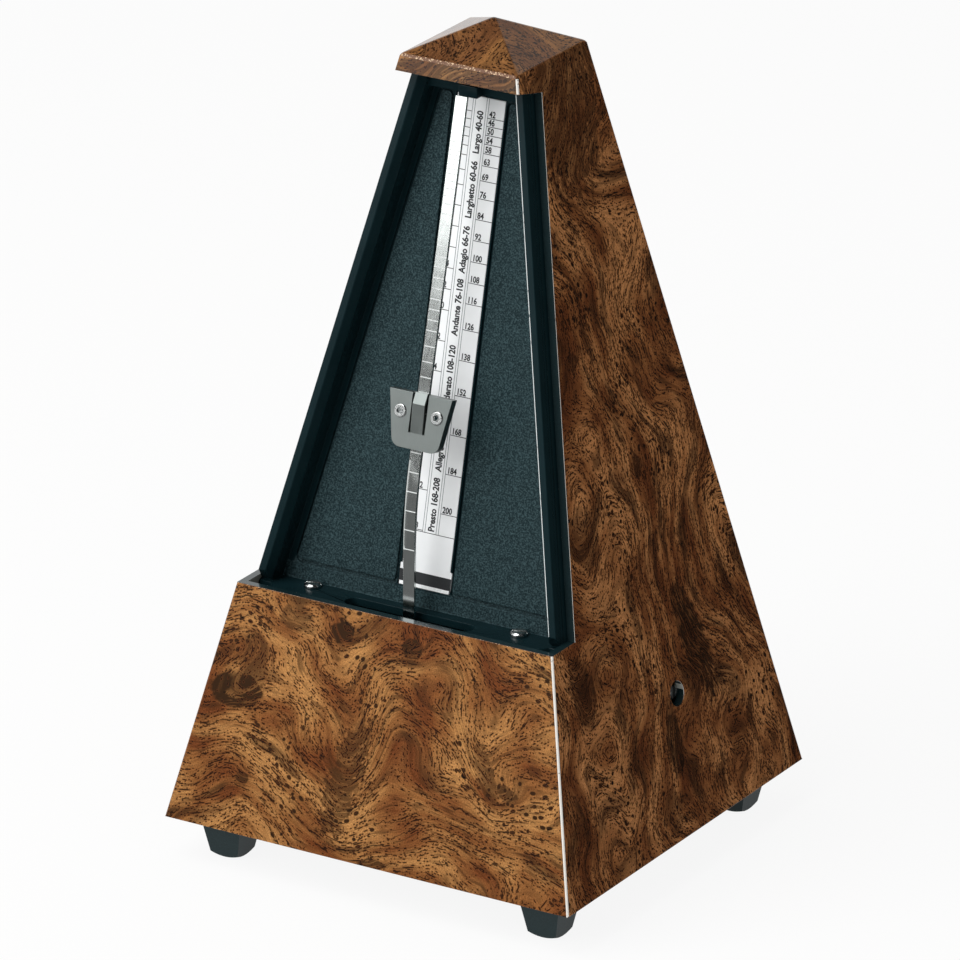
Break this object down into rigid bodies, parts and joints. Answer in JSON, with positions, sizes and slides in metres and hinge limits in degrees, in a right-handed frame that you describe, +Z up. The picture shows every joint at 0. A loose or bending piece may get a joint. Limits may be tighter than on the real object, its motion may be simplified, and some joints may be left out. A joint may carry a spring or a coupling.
{
  "type": "metronome",
  "caption": "Leaning four-sided clockwork metronome: casing with a window, pendulum rod with a sliding weight, scale, winding movement and rubber feet.",
  "frame": {"origin": "on the table, under the middle of the base", "axes": "+Z up, the window, rod and scale face -Y, the key hole opens towards +X"},
  "size_m": [0.117, 0.117, 0.2157],
  "materials": {
    "burl": "glossy moulding with a burr-walnut print",
    "black_plastic": "moulded, fine grain on its panels",
    "rubber": "smooth moulded rubber",
    "printed_aluminium": "satin, printed in black",
    "steel": "brushed",
    "bright_steel": "bright plated",
    "satin_steel": "satin plated",
    "cast_iron": "cast and painted dark",
    "brass": "stamped and turned",
    "blued_steel": "hardened and blued"
  },
  "bodies": {
    "case": {"casing": "burl", "base_plate": "black_plastic", "foot_front_left": "rubber", "foot_front_right": "rubber", "foot_back_left": "rubber", "foot_back_right": "rubber", "base_screws": "steel", "face_frame": "black_plastic", "scale_plate": "printed_aluminium", "frame_screws": "bright_steel", "inner_plate": "brass", "outer_plate": "brass", "pillars": "brass", "plate_screws": "steel", "movement_screws": "steel", "front_cock": "brass", "back_cock": "brass", "cock_screws": "steel", "arbor_bushes": "brass", "click_spring": "blued_steel", "click_screws": "steel"},
    "pendulum": {"pendulum_rod": "steel", "rod_hub": "brass", "hub_nut": "steel", "verge_arbor": "steel", "front_pallet": "steel", "back_pallet": "steel", "bob": "cast_iron", "bob_rivet": "steel"},
    "weight": {"weight_plate": "satin_steel", "weight_body": "satin_steel", "weight_eyelets": "bright_steel"},
    "winder": {"winding_arbor": "steel", "ratchet_wheel": "steel"},
    "click": {"click": "steel"},
    "barrel": {"barrel_drum": "brass", "great_wheel": "brass", "mainspring": "blued_steel"},
    "second": {"second_arbor": "steel", "second_wheel": "brass"},
    "escape": {"escape_arbor": "steel", "crown_wheel": "brass"}
  },
  "joints": [
    {"name": "pendulum_swing", "type": "hinge", "parent": "case", "child": "pendulum", "pos_m": [0, -0.0195, 0.0475], "axis": [0, 1, 0], "range_deg": [-26, 26]},
    {"name": "weight_slide", "type": "slide", "parent": "pendulum", "child": "weight", "axis": [0, 0.228, 0.9737], "range_m": [-0.002, 0.07]},
    {"name": "winding_turn", "type": "hinge", "parent": "case", "child": "winder", "pos_m": [0.03, 0.0063, 0.0462], "axis": [1, 0, 0], "continuous": true},
    {"name": "click_lift", "type": "hinge", "parent": "case", "child": "click", "pos_m": [0.0387, 0.01818, 0.05452], "axis": [-1, 0, 0], "range_deg": [0, 6]},
    {"name": "barrel_turn", "type": "hinge", "parent": "case", "child": "barrel", "pos_m": [0.03, 0.0063, 0.0462], "axis": [1, 0, 0], "continuous": true},
    {"name": "second_turn", "type": "hinge", "parent": "case", "child": "second", "pos_m": [0.02, -0.01507, 0.03422], "axis": [1, 0, 0], "continuous": true},
    {"name": "escape_turn", "type": "hinge", "parent": "case", "child": "escape", "pos_m": [0.02, -0.0195, 0.0475], "axis": [1, 0, 0], "continuous": true}
  ],
  "couplings": [
    {"joint": "second_turn", "follows": "barrel_turn", "ratio": -6},
    {"joint": "escape_turn", "follows": "barrel_turn", "ratio": 36}
  ]
}
